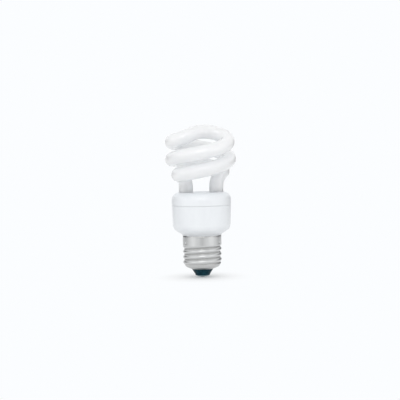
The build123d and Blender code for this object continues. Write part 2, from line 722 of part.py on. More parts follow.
# Switching transistors: two D-shaped bodies, flat side to the choke
transistor_spots = [(choke_x + place * transistor_pitch / 2, transistor_y) for place in (-1, 1)]
with BuildPart() as transistors:
    with BuildSketch(Plane.XY.offset(part_z - TRANSISTOR_HEIGHT)):
        with Locations(*transistor_spots):
            Circle(TRANSISTOR_RADIUS)
            with Locations((0, -TRANSISTOR_FLAT - TRANSISTOR_RADIUS)):
                Rectangle(2 * TRANSISTOR_RADIUS, 2 * TRANSISTOR_RADIUS, mode=Mode.SUBTRACT)
    extrude(amount=TRANSISTOR_HEIGHT)
    for x, y in transistor_spots:
        hanging_leads(*[(x + step * TRANSISTOR_LEADS, y) for step in (-1, 0, 1)])
transistors.part.label = "transistors"
export_step(transistors.part, "parts/transistors.step")


def film_capacitor(size, x, y):
    """Builds a dipped film capacitor of a size under the board, with its two leads."""
    with BuildPart() as capacitor:
        with Locations((x, y, part_z - size[2] / 2)):
            Box(*size)
        chamfer(capacitor.edges().filter_by(Axis.Z), FILM_BEVEL)
        hanging_leads(*[(x + side * (size[0] / 2 - FILM_EDGE), y) for side in (-1, 1)])
    return capacitor


# Film capacitors across the tube, in its feed and in the start circuit
for name, size, x, y in (
    ("resonance_capacitor", RESONANCE_SIZE, can_x, resonance_y),
    ("blocking_capacitor", BLOCKING_SIZE, blocking_x, blocking_y),
    ("start_capacitor", START_SIZE, start_x, start_y),
):
    capacitor = film_capacitor(size, x, y)
    capacitor.part.label = name
    export_step(capacitor.part, f"parts/{name}.step")

# Rectifier bridge: a bevelled block on the board with two flat legs on each side
with BuildPart() as rectifier_bridge:
    with Locations((0, 0, board_top + BRIDGE_SIZE[2] / 2)):
        Box(*BRIDGE_SIZE)
    chamfer(rectifier_bridge.faces().sort_by(Axis.Z)[-1].edges(), BRIDGE_BEVEL)
    with BuildSketch(Plane.XY.offset(board_top)):
        with GridLocations(BRIDGE_LEG_SPACING, BRIDGE_SIZE[1] + BRIDGE_LEG, 2, 2):
            Rectangle(LEAD, BRIDGE_LEG)
    extrude(amount=BRIDGE_LEG_THICK)
rectifier_bridge.part.label = "rectifier_bridge"
export_step(rectifier_bridge.part, "parts/rectifier_bridge.step")


def axial_bodies(radius, length, *rows):
    """Builds axial components lying along X on the board at rows of Y, their leads bent down to it."""
    axis_z = board_top + radius
    span = length + 2 * AXIAL_TAIL
    drop = radius + LEAD / 2
    with BuildPart() as bodies:
        with Locations(*[(0, y, axis_z) for y in rows]):
            Cylinder(radius, length, rotation=(0, 90, 0))
            Box(span + LEAD, LEAD, LEAD)
        with Locations(*[(side * span / 2, y, board_top + drop / 2) for y in rows for side in (-1, 1)]):
            Box(LEAD, LEAD, drop)
    return bodies


# Bias resistors and the diac of the start circuit
bias_resistors = axial_bodies(RESISTOR_RADIUS, RESISTOR_LENGTH, resistor_y, resistor_y + resistor_pitch)
bias_resistors.part.label = "bias_resistors"
export_step(bias_resistors.part, "parts/bias_resistors.step")

diac = axial_bodies(DIAC_RADIUS, DIAC_LENGTH, diac_y)
diac.part.label = "diac"
export_step(diac.part, "parts/diac.step")

# Fuse resistor in the live wire, inside the cap
with BuildPart() as fuse_resistor:
    with BuildSketch(Plane((fuse_x, fuse_y, fuse_foot))):
        Circle(FUSE_RADIUS)
    extrude(amount=FUSE_LENGTH)
fuse_resistor.part.label = "fuse_resistor"
export_step(fuse_resistor.part, "parts/fuse_resistor.step")

# Live wire: from the board to the fuse, and from the fuse through the insulator to the contact
fuse_top = fuse_foot + FUSE_LENGTH
wire_end_z = board_top + WIRE_TAIL
with BuildPart() as live_lead:
    with BuildSketch(Plane((fuse_x, fuse_y, fuse_top))):
        RegularPolygon(WIRE_RADIUS, WIRE_SIDES)
    extrude(amount=wire_end_z - fuse_top)
    with BuildLine() as live_route:
        Polyline(
            (0, 0, contact_z),
            (0, 0, plug_z + WIRE_RISE),
            (fuse_x, fuse_y, fuse_foot - WIRE_RISE),
            (fuse_x, fuse_y, fuse_foot),
        )
    with BuildSketch(Plane((0, 0, contact_z))):
        RegularPolygon(WIRE_RADIUS, WIRE_SIDES)
    sweep(path=live_route.line, transition=Transition.RIGHT)
live_lead.part.label = "live_lead"
export_step(live_lead.part, "parts/live_lead.step")

# Neutral wire: from the board through the neck to the shell's inner wall
neutral_top = neutral_spot + Vector(0, 0, wire_end_z)
neutral_bend = neutral_spot + Vector(0, 0, neutral_z)
neutral_end = Vector(neutral_reach, 0, neutral_z).rotate(Axis.Z, NEUTRAL_ANGLE)
with BuildPart() as neutral_lead:
    with BuildLine() as neutral_route:
        Polyline(neutral_top, neutral_bend, neutral_end)
    with BuildSketch(Plane(neutral_top)):
        RegularPolygon(WIRE_RADIUS, WIRE_SIDES)
    sweep(path=neutral_route.line, transition=Transition.RIGHT)
neutral_lead.part.label = "neutral_lead"
export_step(neutral_lead.part, "parts/neutral_lead.step")
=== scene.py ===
"""Looks of a spiral compact fluorescent lamp: turned cap pieces, finishes, studio and camera.

Sizes are in millimetres until a mesh or a shader is made, and the frame is the one of the solids:
+Z up along the lamp's axis, -Y towards the camera, origin under the cap's contact.
"""

from __future__ import annotations

import json
import logging
import math
from abc import ABC, abstractmethod
from dataclasses import dataclass
from enum import Enum
from typing import Any, Callable, Iterator, Mapping, Optional, Sequence, Union

import bpy
from mathutils import Matrix, Quaternion, Vector


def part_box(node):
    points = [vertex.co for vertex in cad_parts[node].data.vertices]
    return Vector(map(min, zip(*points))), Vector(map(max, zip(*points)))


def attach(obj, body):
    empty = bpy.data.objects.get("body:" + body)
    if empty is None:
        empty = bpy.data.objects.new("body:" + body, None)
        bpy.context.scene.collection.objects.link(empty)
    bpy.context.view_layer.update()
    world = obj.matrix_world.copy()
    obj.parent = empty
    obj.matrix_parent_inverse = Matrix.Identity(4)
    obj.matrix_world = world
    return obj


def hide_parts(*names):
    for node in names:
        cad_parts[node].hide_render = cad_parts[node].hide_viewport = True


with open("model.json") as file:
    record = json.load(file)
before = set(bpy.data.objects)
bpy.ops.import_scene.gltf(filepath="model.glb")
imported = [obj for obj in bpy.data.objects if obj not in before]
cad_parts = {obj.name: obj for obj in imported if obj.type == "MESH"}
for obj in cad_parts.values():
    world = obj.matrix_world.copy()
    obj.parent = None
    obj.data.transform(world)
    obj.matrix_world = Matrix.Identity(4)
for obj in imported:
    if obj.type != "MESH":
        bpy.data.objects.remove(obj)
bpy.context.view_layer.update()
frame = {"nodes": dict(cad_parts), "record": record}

MM = 0.001
WELD = 0.002
BODY = "root"
LOG = logging.getLogger("lamp")

Colour = tuple[float, float, float]
Place = tuple[float, float, float]
Range = tuple[float, float]
Ring = tuple[float, float]
Operand = Union["Signal", float]


def foot_of(node: str) -> float:
    """Gives a solid's lowest level in millimetres."""
    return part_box(node)[0][2] / MM


def top_of(node: str) -> float:
    """Gives a solid's highest level in millimetres."""
    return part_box(node)[1][2] / MM


class Slot(str, Enum):
    """The record's material slots."""

    GLASS = "phosphor_glass"
    PLASTIC = "white_plastic"
    NICKEL = "nickel_plate"
    DARK_GLASS = "dark_glass"
    TIN = "tinned_contact"
    CEMENT = "leg_cement"
    COPPER = "copper_wire"
    BOARD = "board_laminate"
    FERRITE = "ferrite"
    BOBBIN = "bobbin_plastic"
    SLEEVE = "black_sleeve"
    MOULD = "black_mould"
    DIP = "film_dip"
    RESISTOR = "resistor_lacquer"
    INSULATION = "wire_insulation"
    PIN = "tinned_pin"


@dataclass(frozen=True)
class Signal:
    """An output of a shader tree that takes part in Python expressions."""

    tree: "ShaderTree"
    socket: bpy.types.NodeSocket

    def _math(self, operation: str, first: Operand, second: Operand) -> "Signal":
        """Adds a Math node on two operands."""
        return self.tree.node("ShaderNodeMath", {"operation": operation}, {0: first, 1: second})

    def __add__(self, other: Operand) -> "Signal":
        """Adds another value."""
        return self._math("ADD", self, other)

    __radd__ = __add__

    def __sub__(self, other: Operand) -> "Signal":
        """Takes another value away."""
        return self._math("SUBTRACT", self, other)

    def __rsub__(self, other: Operand) -> "Signal":
        """Takes this value away from another."""
        return self._math("SUBTRACT", other, self)

    def __mul__(self, other: Operand) -> "Signal":
        """Multiplies by another value."""
        return self._math("MULTIPLY", self, other)

    __rmul__ = __mul__

    def __truediv__(self, other: Operand) -> "Signal":
        """Divides by another value."""
        return self._math("DIVIDE", self, other)

    def larger(self, other: Operand) -> "Signal":
        """Gives the larger of two values."""
        return self._math("MAXIMUM", self, other)


class ShaderTree:
    """A material or world under construction, node by node."""

    # The Mix node's colour sockets share their names with others, so they go by index
    MIX_FACTOR, MIX_FIRST, MIX_SECOND, MIX_RESULT = 0, 6, 7, 2

    def __init__(self, owner: Union[bpy.types.Material, bpy.types.World]) -> None:
        """Empties the owner's node tree.

        Args:
            owner: the material or world that the nodes belong to.
        """
        owner.use_nodes = True
        self.nodes = owner.node_tree.nodes
        self.links = owner.node_tree.links
        self.nodes.clear()

    def node(
        self,
        kind: str,
        settings: Optional[Mapping[str, Any]] = None,
        inputs: Optional[Mapping[Union[int, str], Any]] = None,
        output: Union[int, str] = 0,
    ) -> Signal:
        """Adds one node.

        Args:
            kind: the node's type.
            settings: properties of the node, set first.
            inputs: values or signals for the node's sockets, by index or name.
            output: the socket that the caller goes on with.

        Returns:
            The chosen output.
        """
        made = self.nodes.new(kind)
        for name, value in (settings or {}).items():
            setattr(made, name, value)
        for key, value in (inputs or {}).items():
            if isinstance(value, Signal):
                self.links.new(value.socket, made.inputs[key])
            else:
                made.inputs[key].default_value = value
        return Signal(self, made.outputs[output] if made.outputs else made.inputs[0])

    def point(self) -> Signal:
        """Gives the surface point in the lamp's own frame, in metres."""
        return self.node("ShaderNodeTexCoord", output="Object")

    def height(self, point: Signal) -> Signal:
        """Gives a point's height in metres."""
        return self.node("ShaderNodeSeparateXYZ", inputs={0: point}, output="Z")

    def radius(self, point: Signal) -> Signal:
        """Gives a point's distance from the lamp's axis in metres."""
        flat = self.stretched(point, (1.0, 1.0, 0.0))
        return self.node("ShaderNodeVectorMath", {"operation": "LENGTH"}, {0: flat}, output="Value")

    def stretched(self, point: Signal, factors: Place) -> Signal:
        """Scales a vector axis by axis."""
        return self.node("ShaderNodeVectorMath", {"operation": "MULTIPLY"}, {0: point, 1: factors})

    def noise(self, point: Signal, size: float, detail: float = 3.0, rough: float = 0.5) -> Signal:
        """Adds a noise pattern.

        Args:
            point: where the pattern is read.
            size: its largest feature, in millimetres.
            detail: how many finer layers it has.
            rough: how strong the finer layers are.

        Returns:
            A value from 0 to 1.
        """
        inputs = {"Vector": point, "Scale": 1.0 / (size * MM), "Detail": detail, "Roughness": rough}
        return self.node("ShaderNodeTexNoise", inputs=inputs)

    def cells(self, point: Signal, size: float) -> Signal:
        """Adds a pattern of cells of a size in millimetres and gives the distance to their middles."""
        return self.node("ShaderNodeTexVoronoi", inputs={"Vector": point, "Scale": 1.0 / (size * MM)})

    def mask(self, value: Signal, low: float, high: float) -> Signal:
        """Gives 0 below a low value and 1 above a high one, or the other way if low is the larger."""
        inputs = {"Value": value, "From Min": low, "From Max": high}
        return self.node("ShaderNodeMapRange", {"interpolation_type": "SMOOTHSTEP"}, inputs)

    def reach(self, length: Signal, low: float, high: float) -> Signal:
        """Masks a length in metres as mask does, between two values in millimetres."""
        return self.mask(length, low * MM, high * MM)

    def between(self, value: Signal, low: float, high: float) -> Signal:
        """Spreads a value of 0 to 1 over a range."""
        return value * (high - low) + low

    def weighed(self, first: Signal, second: Signal, share: Operand) -> Signal:
        """Mixes two values, with a share of the second."""
        return first * (1 - share) + second * share

    def blend(self, factor: Signal, first: Union[Signal, Colour], second: Colour) -> Signal:
        """Mixes two colours.

        Args:
            factor: how much of the second shows, from 0 to 1.
            first: the colour at 0.
            second: the colour at 1.

        Returns:
            The mixed colour.
        """
        start = first if isinstance(first, Signal) else (*first, 1.0)
        inputs = {self.MIX_FACTOR: factor, self.MIX_FIRST: start, self.MIX_SECOND: (*second, 1.0)}
        return self.node("ShaderNodeMix", {"data_type": "RGBA"}, inputs, output=self.MIX_RESULT)

    def bump(self, height: Signal, depth: float, strength: float) -> Signal:
        """Turns a height of 0 to 1 into a normal, for a relief of a depth in millimetres."""
        inputs = {"Height": height, "Distance": depth * MM, "Strength": strength}
        return self.node("ShaderNodeBump", inputs=inputs)

    def principled(self, sockets: Mapping[str, Any]) -> None:
        """Ends a material in a Principled shader with these sockets."""
        shader = self.node("ShaderNodeBsdfPrincipled", inputs=sockets)
        self.node("ShaderNodeOutputMaterial", inputs={"Surface": shader})


@dataclass(frozen=True)
class Finish(ABC):
    """A surface finish that paints itself into a new material."""

    name: str

    def material(self) -> bpy.types.Material:
        """Makes the finish's material.

        Returns:
            The new material.
        """
        made = bpy.data.materials.new(self.name)
        self.paint(ShaderTree(made))
        return made

    @abstractmethod
    def paint(self, tree: ShaderTree) -> None:
        """Builds the finish's nodes in an empty tree."""


@dataclass(frozen=True)
class PhosphorGlass(Finish):
    """White phosphor behind a clear glass wall, greyer at the feet of the legs."""

    white: Colour = (0.915, 0.944, 0.982)
    thin: Colour = (0.895, 0.926, 0.967)
    thin_edge: Range = (0.42, 0.66)
    cloud_size: float = 9.0
    streak_size: float = 2.2
    streak_squeeze: Place = (1.0, 1.0, 3.0)
    streak_share: float = 0.3
    end_grey: Colour = (0.845, 0.872, 0.908)
    end_share: float = 0.6
    end_length: float = 4.6
    leg_foot: float = top_of("tube_cover")
    scatter: float = 40.0
    powder_gloss: Range = (0.3, 0.46)
    wall_weight: float = 0.8
    wall_roughness: float = 0.08
    wall_ior: float = 1.5
    wave_size: float = 5.0
    wave_depth: float = 0.12
    wave_strength: float = 0.35

    def paint(self, tree: ShaderTree) -> None:
        """Builds uneven powder, the greyer leg ends and the polished wall.

        Args:
            tree: the new material's empty tree.
        """
        point = tree.point()
        cloud = tree.noise(point, self.cloud_size, detail=2.0)
        streak = tree.noise(tree.stretched(point, self.streak_squeeze), self.streak_size, detail=4.0)
        uneven = tree.mask(tree.weighed(cloud, streak, self.streak_share), *self.thin_edge)
        powder = tree.blend(uneven, self.white, self.thin)
        ends = tree.reach(tree.height(point), self.leg_foot + self.end_length, self.leg_foot)
        wave = tree.noise(point, self.wave_size, detail=1.0)
        tree.principled(
            {
                "Base Color": tree.blend(ends * self.end_share, powder, self.end_grey),
                "Roughness": tree.between(streak, *self.powder_gloss),
                "Subsurface Weight": 1.0,
                "Subsurface Radius": (1.0, 1.0, 1.0),
                "Subsurface Scale": self.scatter * MM,
                "Coat Weight": self.wall_weight,
                "Coat Roughness": self.wall_roughness,
                "Coat IOR": self.wall_ior,
                "Normal": tree.bump(wave, self.wave_depth, self.wave_strength),
            }
        )


@dataclass(frozen=True)
class MouldedPlastic(Finish):
    """Satin white moulded plastic, with dust and painted shade in the seam and painted shade at the neck."""

    white: Colour = (0.822, 0.848, 0.872)
    shade: Colour = (0.805, 0.83, 0.856)
    flow_size: float = 7.0
    flow_stretch: Place = (1.0, 1.0, 0.25)
    flow_edge: Range = (0.4, 0.65)
    grain_size: float = 0.22
    grain_depth: float = 0.02
    grain_strength: float = 0.35
    flow_share: float = 0.2
    gloss: Range = (0.22, 0.34)
    specular: float = 0.62
    speck_size: float = 0.9
    # The seam's darker grey is partly dust and partly painted shade in the groove.
    seam_dust_and_shade: Colour = (0.62, 0.63, 0.63)
    seam_dust_and_shade_edge: Range = (0.35, 0.6)
    seam_dust_and_shade_cover: Range = (0.25, 0.6)
    dust_roughness: float = 0.2
    seam: float = top_of("ballast_case")
    seam_reach: float = 0.32
    # Painted shade: the darker mottled colour low on the neck, under the housing's bowl.
    painted_neck_shade: Colour = (0.5, 0.515, 0.525)
    painted_neck_shade_cover: Range = (0.3, 0.7)
    painted_neck_shade_reach: Range = (2.6, 0.2)
    neck: float = top_of("screw_shell")

    def paint(self, tree: ShaderTree) -> None:
        """Builds the flow pattern, the fine spark-eroded grain, dust and painted shade in the seam, and
        painted shade at the neck.

        Args:
            tree: the new material's empty tree.
        """
        point = tree.point()
        height = tree.height(point)
        flow = tree.noise(tree.stretched(point, self.flow_stretch), self.flow_size, detail=2.0)
        grain = tree.noise(point, self.grain_size, detail=2.0, rough=0.65)
        speck = tree.noise(point, self.speck_size, detail=4.0, rough=0.7)
        body = tree.blend(tree.mask(flow, *self.flow_edge), self.white, self.shade)
        # Darker speckled grey along the seam: partly dust, partly painted shade between the case and the
        # cover.
        above = tree.reach(height, self.seam + self.seam_reach, self.seam)
        below = tree.reach(height, self.seam - self.seam_reach, self.seam)
        seam_dust_and_shade_share = above * below * tree.between(tree.mask(speck, *self.seam_dust_and_shade_edge), *self.seam_dust_and_shade_cover)
        # Painted shade: darker mottled colour low on the neck, where the collar meets the housing.
        foot = tree.reach(height, *(self.neck + step for step in self.painted_neck_shade_reach))
        painted_neck_shade_share = foot * tree.between(speck, *self.painted_neck_shade_cover)
        relief = tree.weighed(grain, flow, self.flow_share)
        tree.principled(
            {
                "Base Color": tree.blend(painted_neck_shade_share, tree.blend(seam_dust_and_shade_share, body, self.seam_dust_and_shade), self.painted_neck_shade),
                "Roughness": tree.between(grain, *self.gloss) + seam_dust_and_shade_share * self.dust_roughness,
                "Specular IOR Level": self.specular,
                "Normal": tree.bump(relief, self.grain_depth, self.grain_strength),
            }
        )


@dataclass(frozen=True)
class NickelPlate(Finish):
    """Nickel plate on rolled sheet, burnished on the crests, darker in the roots as dull plate and painted
    shade, with painted shade at the top.
    """

    bright: Colour = (0.64, 0.643, 0.638)
    # The darker colour is dull plate and painted shade: the roots and the top of the collar take it.
    dull_and_shade: Colour = (0.47, 0.468, 0.46)
    root: float = 12.1
    crest_steps: Range = (0.05, 0.5)
    thread_foot: float = 9.6
    floor_fade: float = 0.8
    floor_wear: float = 0.8
    top: float = top_of("screw_shell")
    # The top of the collar takes the darker colour as painted shade under the housing's rim.
    painted_top_shade_reach: float = 1.7
    cloud_size: float = 3.0
    cloud_share: float = 0.25
    stain: Colour = (0.33, 0.31, 0.28)
    stain_edge: Range = (0.52, 0.7)
    stain_cover: float = 0.35
    stain_roughness: float = 0.25
    blot_size: float = 0.7
    line_size: float = 0.16
    line_stretch: Place = (0.05, 0.05, 1.0)
    gloss: Range = (0.28, 0.4)
    root_roughness: float = 0.08
    blot_share: float = 0.4
    relief_depth: float = 0.02
    relief_strength: float = 0.5

    def paint(self, tree: ShaderTree) -> None:
        """Builds the rolling marks, the plate's cloudiness and stains in the roots.

        Args:
            tree: the new material's empty tree.
        """
        point = tree.point()
        height = tree.height(point)
        floor = tree.reach(height, self.thread_foot, self.thread_foot - self.floor_fade)
        crest = tree.reach(tree.radius(point), *(self.root + step for step in self.crest_steps))
        proud = crest.larger(floor * self.floor_wear)
        # Painted shade: the plate turns to its darker colour over the top of the collar, under the housing's
        # rim.
        painted_top_shade = tree.reach(height, self.top - self.painted_top_shade_reach, self.top)
        lines = tree.noise(tree.stretched(point, self.line_stretch), self.line_size, detail=3.0, rough=0.6)
        cloud = tree.noise(point, self.cloud_size, detail=4.0, rough=0.6)
        blot = tree.noise(point, self.blot_size, detail=3.0)
        # Crests lighter than roots: part wear, part painted shade in the thread's hollows.
        wear_and_light = tree.weighed(proud * (1 - painted_top_shade), cloud, self.cloud_share)
        stains = (1 - proud) * tree.mask(blot, *self.stain_edge) * self.stain_cover
        rough = (1 - proud) * self.root_roughness + stains * self.stain_roughness
        relief = tree.weighed(lines, blot, self.blot_share)
        tree.principled(
            {
                "Base Color": tree.blend(stains, tree.blend(wear_and_light, self.dull_and_shade, self.bright), self.stain),
                "Metallic": 1.0,
                "Roughness": tree.between(lines, *self.gloss) + rough,
                "Normal": tree.bump(relief, self.relief_depth, self.relief_strength),
            }
        )


@dataclass(frozen=True)
class VitrifiedGlass(Finish):
    """Dark glass, pressed hot and fire-polished, with a few fine bubbles."""

    deep: Colour = (0.002, 0.028, 0.044)
    pale: Colour = (0.008, 0.05, 0.068)
    streak_size: float = 1.6
    streak_stretch: Place = (1.0, 1.0, 0.3)
    streak_edge: Range = (0.4, 0.7)
    bubble_spacing: float = 0.55
    bubble_edge: Range = (0.16, 0.08)
    bubble_cover: float = 0.35
    bubble_share: float = 0.1
    gloss: Range = (0.22, 0.34)
    specular: float = 0.08
    wave_size: float = 1.8
    wave_depth: float = 0.12
    wave_strength: float = 0.4

    def paint(self, tree: ShaderTree) -> None:
        """Builds streaked colour, bubbles under the surface and soft waves.

        Args:
            tree: the new material's empty tree.
        """
        point = tree.point()
        streak = tree.noise(tree.stretched(point, self.streak_stretch), self.streak_size, detail=4.0)
        bubbles = tree.mask(tree.cells(point, self.bubble_spacing), *self.bubble_edge)
        wave = tree.noise(point, self.wave_size, detail=2.0)
        body = tree.blend(tree.mask(streak, *self.streak_edge), self.deep, self.pale)
        relief = tree.weighed(wave, bubbles, self.bubble_share)
        tree.principled(
            {
                "Base Color": tree.blend(bubbles * self.bubble_cover, body, self.pale),
                "Roughness": tree.between(streak, *self.gloss),
                "Specular IOR Level": self.specular,
                "Normal": tree.bump(relief, self.wave_depth, self.wave_strength),
            }
        )


@dataclass(frozen=True)
class TinnedContact(Finish):
    """Tin on brass, both darkened as painted shade over the contact, with a bead of solder in its middle."""

    # Tin and brass are darker than the metals are: painted shade over the whole contact.
    tin: Colour = (0.19, 0.28, 0.31)
    brass: Colour = (0.38, 0.3, 0.16)
    rub_size: float = 1.4
    rub_edge: Range = (0.58, 0.75)
    rub_cover: float = 0.6
    solder: Colour = (0.45, 0.47, 0.49)
    bead: float = 1.75
    bead_fade: float = 0.3
    frost_size: float = 0.3
    gloss: Range = (0.22, 0.42)
    solder_roughness: float = 0.08
    relief_depth: float = 0.03
    relief_strength: float = 0.5

    def paint(self, tree: ShaderTree) -> None:
        """Builds rubbed tin over brass, and frosted solder inside the bead's radius.

        Args:
            tree: the new material's empty tree.
        """
        point = tree.point()
        bead = tree.reach(tree.radius(point), self.bead + self.bead_fade, self.bead)
        rub = tree.noise(point, self.rub_size, detail=5.0, rough=0.65)
        frost = tree.cells(point, self.frost_size)
        plate = tree.blend(tree.mask(rub, *self.rub_edge) * self.rub_cover, self.tin, self.brass)
        relief = tree.weighed(rub, frost, bead)
        tree.principled(
            {
                "Base Color": tree.blend(bead, plate, self.solder),
                "Metallic": 1.0,
                "Roughness": tree.between(rub, *self.gloss) + bead * self.solder_roughness,
                "Normal": tree.bump(relief, self.relief_depth, self.relief_strength),
            }
        )


@dataclass(frozen=True)
class GrainedBody(Finish):
    """A plain body with a grain: mouldings, cement, ferrite, lacquer and the like."""

    colour: Colour
    fleck: Colour
    grain: float
    gloss: Range
    relief: float
    metallic: float = 0.0
    fleck_edge: Range = (0.4, 0.66)
    broad: float = 8.0
    broad_share: float = 0.4
    relief_strength: float = 0.6

    def paint(self, tree: ShaderTree) -> None:
        """Builds flecks of the second colour and a fine relief.

        Args:
            tree: the new material's empty tree.
        """
        point = tree.point()
        fine = tree.noise(point, self.grain, detail=4.0, rough=0.6)
        broad = tree.noise(point, self.broad * self.grain, detail=2.0)
        flecks = tree.mask(tree.weighed(fine, broad, self.broad_share), *self.fleck_edge)
        tree.principled(
            {
                "Base Color": tree.blend(flecks, self.colour, self.fleck),
                "Metallic": self.metallic,
                "Roughness": tree.between(fine, *self.gloss),
                "Normal": tree.bump(fine, self.relief, self.relief_strength),
            }
        )


@dataclass(frozen=True)
class WoundCopper(Finish):
    """Lacquered copper wire, wound turn by turn along the lamp's axis."""

    copper: Colour = (0.62, 0.26, 0.11)
    painted_gap_shade: Colour = (0.16, 0.06, 0.03)
    painted_gap_shade_edge: Range = (0.0, 0.35)
    wire: float = 0.3
    wander_size: float = 2.0
    wander_turns: float = 0.6
    metallic: float = 0.9
    gloss: Range = (0.22, 0.36)
    turn_depth: float = 0.12
    turn_strength: float = 0.8

    def paint(self, tree: ShaderTree) -> None:
        """Builds the turns as bands across the winding, with painted shade in the gaps between them.

        Args:
            tree: the new material's empty tree.
        """
        point = tree.point()
        wander = tree.noise(point, self.wander_size, detail=1.0)
        height = tree.height(point) / (self.wire * MM) + wander * self.wander_turns
        turn = tree.node("ShaderNodeMath", {"operation": "PINGPONG"}, {0: height, 1: 0.5}) * 2
        tree.principled(
            {
                # Painted shade: a dark colour in the gaps between the turns.
                "Base Color": tree.blend(tree.mask(turn, *self.painted_gap_shade_edge), self.painted_gap_shade, self.copper),
                "Metallic": self.metallic,
                "Roughness": tree.between(wander, *self.gloss),
                "Normal": tree.bump(turn, self.turn_depth, self.turn_strength),
            }
        )


LEG_CEMENT = GrainedBody(
    "leg_cement", colour=(0.78, 0.77, 0.73), fleck=(0.66, 0.65, 0.61),
    grain=0.25, gloss=(0.75, 0.95), relief=0.08,
)
BOARD_LAMINATE = GrainedBody(
    "board_laminate", colour=(0.42, 0.29, 0.14), fleck=(0.34, 0.22, 0.1),
    grain=0.5, gloss=(0.4, 0.55), relief=0.02,
)
FERRITE = GrainedBody(
    "ferrite", colour=(0.045, 0.045, 0.05), fleck=(0.075, 0.075, 0.08),
    grain=0.12, gloss=(0.5, 0.7), relief=0.03,
)
BOBBIN_PLASTIC = GrainedBody(
    "bobbin_plastic", colour=(0.74, 0.73, 0.69), fleck=(0.7, 0.69, 0.64),
    grain=0.4, gloss=(0.35, 0.5), relief=0.01,
)
BLACK_SLEEVE = GrainedBody(
    "black_sleeve", colour=(0.018, 0.02, 0.028), fleck=(0.03, 0.032, 0.04),
    grain=0.8, gloss=(0.22, 0.34), relief=0.02,
)
BLACK_MOULD = GrainedBody(
    "black_mould", colour=(0.026, 0.026, 0.026), fleck=(0.04, 0.04, 0.04),
    grain=0.15, gloss=(0.5, 0.7), relief=0.03,
)
FILM_DIP = GrainedBody(
    "film_dip", colour=(0.36, 0.055, 0.028), fleck=(0.28, 0.04, 0.02),
    grain=0.9, gloss=(0.16, 0.28), relief=0.03,
)
RESISTOR_LACQUER = GrainedBody(
    "resistor_lacquer", colour=(0.2, 0.36, 0.42), fleck=(0.16, 0.3, 0.36),
    grain=0.5, gloss=(0.2, 0.34), relief=0.02,
)
WIRE_INSULATION = GrainedBody(
    "wire_insulation", colour=(0.78, 0.78, 0.78), fleck=(0.72, 0.72, 0.72),
    grain=0.5, gloss=(0.4, 0.55), relief=0.02,
)
TINNED_PIN = GrainedBody(
    "tinned_pin", colour=(0.58, 0.58, 0.56), fleck=(0.46, 0.46, 0.44),
    grain=0.4, gloss=(0.24, 0.4), relief=0.02, metallic=1.0,
)


class Finishes:
    """The lamp's finishes by record slot, each made once."""

    RECIPES: Mapping[Slot, Finish] = {
        Slot.GLASS: PhosphorGlass("phosphor_glass"),
        Slot.PLASTIC: MouldedPlastic("white_plastic"),
        Slot.NICKEL: NickelPlate("nickel_plate"),
        Slot.DARK_GLASS: VitrifiedGlass("dark_glass"),
        Slot.TIN: TinnedContact("tinned_contact"),
        Slot.CEMENT: LEG_CEMENT,
        Slot.COPPER: WoundCopper("copper_wire"),
        Slot.BOARD: BOARD_LAMINATE,
        Slot.FERRITE: FERRITE,
        Slot.BOBBIN: BOBBIN_PLASTIC,
        Slot.SLEEVE: BLACK_SLEEVE,
        Slot.MOULD: BLACK_MOULD,
        Slot.DIP: FILM_DIP,
        Slot.RESISTOR: RESISTOR_LACQUER,
        Slot.INSULATION: WIRE_INSULATION,
        Slot.PIN: TINNED_PIN,
    }

    def __init__(self) -> None:
        """Starts with no material made."""
        self._made: dict[Slot, bpy.types.Material] = {}

    def of(self, slot: Slot) -> bpy.types.Material:
        """Gives a slot's material, making it the first time.

        Args:
            slot: the record's slot.

        Returns:
            The material.
        """
        if slot not in self._made:
            self._made[slot] = self.RECIPES[slot].material()
        return self._made[slot]

    def put(self, piece: bpy.types.Object, slot: Slot) -> None:
        """Dresses a whole piece in a slot's material."""
        piece.data.materials.clear()
        piece.data.materials.append(self.of(slot))


class Ends(Enum):
    """How the two ends of a turned outline are finished."""

    OPEN = "left open"
    POLES = "closed to a point on the axis"
    JOINED = "joined to each other round a bore"


